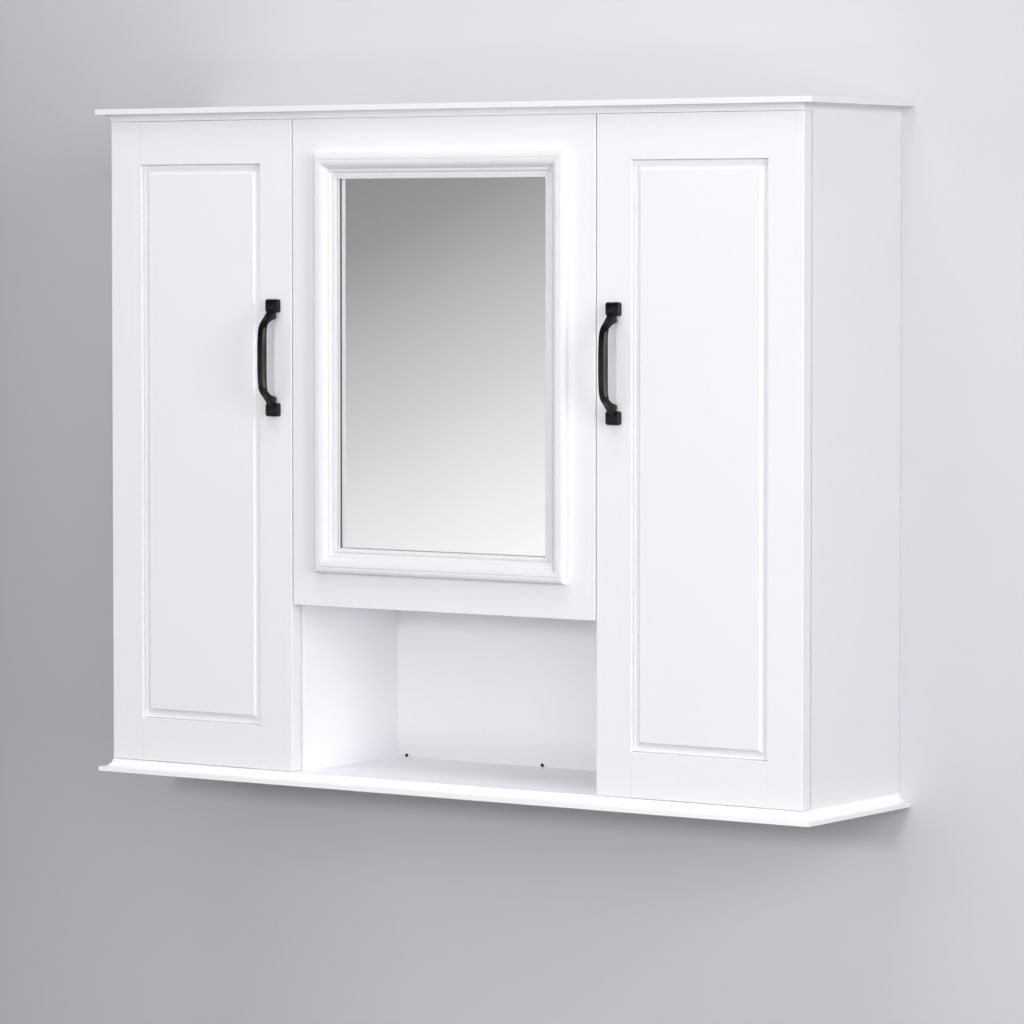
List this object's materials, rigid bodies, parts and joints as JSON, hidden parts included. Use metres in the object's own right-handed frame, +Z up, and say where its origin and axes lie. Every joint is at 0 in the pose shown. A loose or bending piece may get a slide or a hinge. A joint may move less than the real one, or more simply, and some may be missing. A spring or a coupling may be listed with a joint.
{
  "type": "medicine cabinet",
  "caption": "White wall-hung medicine cabinet with raised-panel side doors, a framed mirror door between them and an open shelf under the mirror.",
  "frame": {"origin": "centre of the rear face, on the wall, midway up and across", "axes": "+X to the right seen from the front, +Y into the wall, +Z up"},
  "size_m": [0.8, 0.195, 0.638],
  "materials": {
    "white_board": "satin white paint on fibreboard",
    "white_door": "satin white paint on fibreboard",
    "white_moulding": "satin white paint on moulded timber",
    "white_shelf": "white melamine",
    "black_handle": "black powder coat, satin",
    "mirror_silver": "silvered float glass",
    "hardboard": "raw hardboard",
    "back_board": "white faced hardboard",
    "beech": "raw beech",
    "nickel": "nickel plated",
    "screw_steel": "zinc plated",
    "zinc_plate": "zinc plated",
    "dark_pin": "matte",
    "white_plastic": "moulded",
    "magnet": "ferrite",
    "clear_bumper": "clear soft pad"
  },
  "bodies": {
    "carcass": {"top_board": "white_board", "bottom_board": "white_board", "left_side_panel": "white_board", "right_side_panel": "white_board", "left_partition": "white_board", "right_partition": "white_board", "niche_ceiling": "white_board", "back_panel": "back_board", "hanging_rails": "white_board", "left_shelves": "white_shelf", "right_shelves": "white_shelf", "middle_shelf": "white_shelf", "shelf_pins": "nickel", "cam_locks": "nickel", "cam_bolts": "nickel", "wood_dowels": "beech", "back_panel_nails": "screw_steel", "niche_back_pins": "dark_pin", "niche_ceiling_screws": "screw_steel", "hinge_plates": "nickel", "hinge_arms": "nickel", "hinge_plate_screws": "screw_steel", "catch_housings": "white_plastic", "catch_magnets": "magnet", "door_bumpers": "clear_bumper"},
    "left_door": {"left_door_hinge_stile": "white_door", "left_door_latch_stile": "white_door", "left_door_top_rail": "white_door", "left_door_bottom_rail": "white_door", "left_door_panel": "white_door", "left_handle": "black_handle", "left_handle_screws": "screw_steel", "left_hinge_cups": "nickel", "left_hinge_cup_screws": "screw_steel", "left_strike_plate": "zinc_plate"},
    "right_door": {"right_door_hinge_stile": "white_door", "right_door_latch_stile": "white_door", "right_door_top_rail": "white_door", "right_door_bottom_rail": "white_door", "right_door_panel": "white_door", "right_handle": "black_handle", "right_handle_screws": "screw_steel", "right_hinge_cups": "nickel", "right_hinge_cup_screws": "screw_steel", "right_strike_plate": "zinc_plate"},
    "mirror_door": {"mirror_door_board": "white_door", "mirror_moulding_top": "white_moulding", "mirror_moulding_bottom": "white_moulding", "mirror_moulding_left": "white_moulding", "mirror_moulding_right": "white_moulding", "mirror_glass": "mirror_silver", "mirror_backing": "hardboard", "mirror_clips": "zinc_plate", "mirror_hinge_cups": "nickel", "mirror_hinge_cup_screws": "screw_steel", "mirror_strike_plate": "zinc_plate"},
    "left_hinge_link_set": {"left_hinge_links": "nickel"},
    "right_hinge_link_set": {"right_hinge_links": "nickel"},
    "mirror_hinge_link_set": {"mirror_hinge_links": "nickel"}
  },
  "joints": [
    {"name": "left_door_swing", "type": "hinge", "parent": "carcass", "child": "left_door", "pos_m": [-0.3805, -0.169, 0], "axis": [0, 0, -1], "range_deg": [0, 105]},
    {"name": "right_door_swing", "type": "hinge", "parent": "carcass", "child": "right_door", "pos_m": [0.3805, -0.169, 0], "axis": [0, 0, 1], "range_deg": [0, 105]},
    {"name": "mirror_door_swing", "type": "hinge", "parent": "carcass", "child": "mirror_door", "pos_m": [-0.1633, -0.169, 0], "axis": [0, 0, -1], "range_deg": [0, 95]},
    {"name": "left_link_turn", "type": "hinge", "parent": "carcass", "child": "left_hinge_link_set", "pos_m": [-0.357, -0.1525, 0], "axis": [0, 0, -1], "range_deg": [-37.9, 0]},
    {"name": "right_link_turn", "type": "hinge", "parent": "carcass", "child": "right_hinge_link_set", "pos_m": [0.357, -0.1525, 0], "axis": [0, 0, 1], "range_deg": [-37.9, 0]},
    {"name": "mirror_link_turn", "type": "hinge", "parent": "carcass", "child": "mirror_hinge_link_set", "pos_m": [-0.1398, -0.1525, 0], "axis": [0, 0, -1], "range_deg": [-34.3, 0]}
  ],
  "couplings": [
    {"joint": "left_link_turn", "follows": "left_door_swing", "ratio": -0.356},
    {"joint": "right_link_turn", "follows": "right_door_swing", "ratio": -0.356},
    {"joint": "mirror_link_turn", "follows": "mirror_door_swing", "ratio": -0.356}
  ]
}
